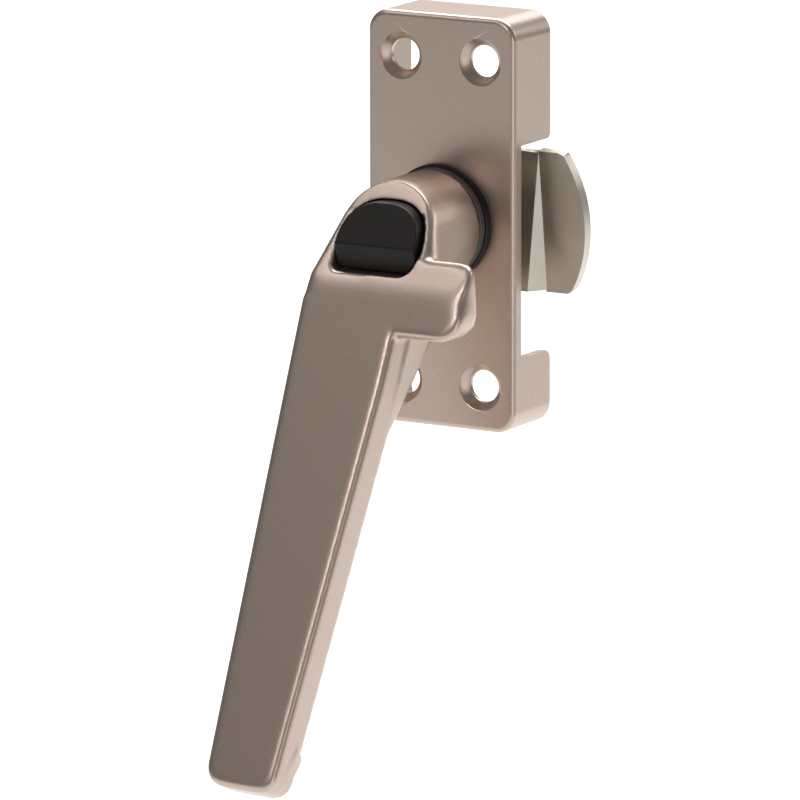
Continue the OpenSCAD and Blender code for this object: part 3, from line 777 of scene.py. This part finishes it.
class LOCK_OT_casing(bpy.types.Operator):
    """Build the cast casing"""
    bl_idname = "lock.casing"
    bl_label = "Casing"

    def execute(self, context):
        made = bevelled("casing_shell", "casing", context.scene.lock_skin.casing_edge)
        finish_piece(made, "casing", "casing", "coated_casting")
        return {"FINISHED"}


class LOCK_OT_handle(bpy.types.Operator):
    """Build the cast handle"""
    bl_idname = "lock.handle"
    bl_label = "Handle"

    def execute(self, context):
        skin = context.scene.lock_skin
        made = rounded_skin("handle_casting", "handle", skin.cast_voxel, skin.cast_steps,
                            LEVER_TILT)
        reshape(made, lever_shape)
        reshape(made, wing_shape)
        soften(made, on_ridge, skin.ridge_steps)
        soften(made, on_wing, skin.wing_steps)
        soften(made, on_arch, skin.arch_steps)
        finish_piece(made, "handle", "handle", "coated_casting")
        return {"FINISHED"}


class LOCK_OT_button(bpy.types.Operator):
    """Build the push button"""
    bl_idname = "lock.button"
    bl_label = "Push button"

    def execute(self, context):
        skin = context.scene.lock_skin
        made = rounded_skin("button_moulding", "push_button", skin.button_voxel,
                            skin.button_steps)
        reshape(made, fuller_button)
        finish_piece(made, "push_button", "button", "black_plastic")
        return {"FINISHED"}


class LOCK_OT_tongue(bpy.types.Operator):
    """Build the cranked tongue"""
    bl_idname = "lock.tongue"
    bl_label = "Tongue"

    def execute(self, context):
        made = bevelled("tongue_pressing", "tongue", context.scene.lock_skin.sheet_edge)
        finish_piece(made, "tongue", "handle", "passivated_steel")
        return {"FINISHED"}


class LOCK_OT_hardware(bpy.types.Operator):
    """Build the small steel, plastic and rubber pieces"""
    bl_idname = "lock.hardware"
    bl_label = "Hardware"

    # Node, body and slot of each
    PIECES = (
        ("bearing_bush", "casing", "black_plastic"),
        ("friction_ring", "casing", "black_rubber"),
        ("lock_plate", "casing", "zinc_steel"),
        ("lock_plate_rivets", "casing", "zinc_steel"),
        ("spindle", "handle", "zinc_steel"),
        ("handle_cross_pin", "handle", "zinc_steel"),
        ("button_keeper_pin", "handle", "zinc_steel"),
        ("thrust_washer", "handle", "zinc_steel"),
        ("wave_washer", "handle", "spring_steel"),
        ("spacer", "handle", "zinc_steel"),
        ("tongue_washer", "handle", "zinc_steel"),
        ("split_washer", "handle", "spring_steel"),
        ("tongue_screw", "handle", "zinc_steel"),
        ("lock_pin", "button", "zinc_steel"),
        ("lock_collar", "button", "zinc_steel"),
    )

    def execute(self, context):
        for node, body, slot in self.PIECES:
            made = bevelled(node + "_detail", node, context.scene.lock_skin.small_edge,
                            segments=2)
            finish_piece(made, node, body, slot)
        return {"FINISHED"}


class LOCK_OT_spring(bpy.types.Operator):
    """Wind the button's spring"""
    bl_idname = "lock.spring"
    bl_label = "Spring"

    def execute(self, context):
        low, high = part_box("button_spring")
        made = wound_spring("button_coil", low, high, context.scene.lock_spring)
        finish_piece(made, "button_spring", "handle", "spring_steel")
        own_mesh(made)
        return {"FINISHED"}


class LOCK_OT_stage(bpy.types.Operator):
    """Set the camera, the floor, the lamps and the even light"""
    bl_idname = "lock.stage"
    bl_label = "Stage"

    def execute(self, context):
        stage = context.scene.lock_stage
        add_camera(stage)
        add_floor(stage)
        for lamp in LAMPS:
            add_lamp(*lamp)
        add_sky(stage)
        context.scene.view_settings.view_transform = "Standard"
        return {"FINISHED"}


class LOCK_PT_panel(bpy.types.Panel):
    """Lists the settings and the steps that build the lock"""
    bl_idname = "LOCK_PT_panel"
    bl_label = "Window Lock"
    bl_space_type = "VIEW_3D"
    bl_region_type = "UI"
    bl_category = "Lock"

    def draw(self, context):
        for name, kind in SETTINGS:
            box = self.layout.box()
            for key in kind.__annotations__:
                box.prop(getattr(context.scene, name), key)
        for step in STEPS:
            self.layout.operator(step.bl_idname)


SETTINGS = (
    ("lock_skin", SkinSettings),
    ("lock_finish", FinishSettings),
    ("lock_spring", SpringSettings),
    ("lock_stage", StageSettings),
)
STEPS = (LOCK_OT_finishes, LOCK_OT_casing, LOCK_OT_handle, LOCK_OT_button, LOCK_OT_tongue,
         LOCK_OT_hardware, LOCK_OT_spring, LOCK_OT_stage)


def register():
    for name, kind in SETTINGS:
        bpy.utils.register_class(kind)
        setattr(bpy.types.Scene, name, PointerProperty(type=kind))
    for kind in (*STEPS, LOCK_PT_panel):
        bpy.utils.register_class(kind)


def unregister():
    for kind in (LOCK_PT_panel, *reversed(STEPS)):
        bpy.utils.unregister_class(kind)
    for name, kind in reversed(SETTINGS):
        delattr(bpy.types.Scene, name)
        bpy.utils.unregister_class(kind)


def main():
    register()
    for step in STEPS:
        group, name = step.bl_idname.split(".")
        getattr(getattr(bpy.ops, group), name)()


if __name__ == "__main__":
    main()
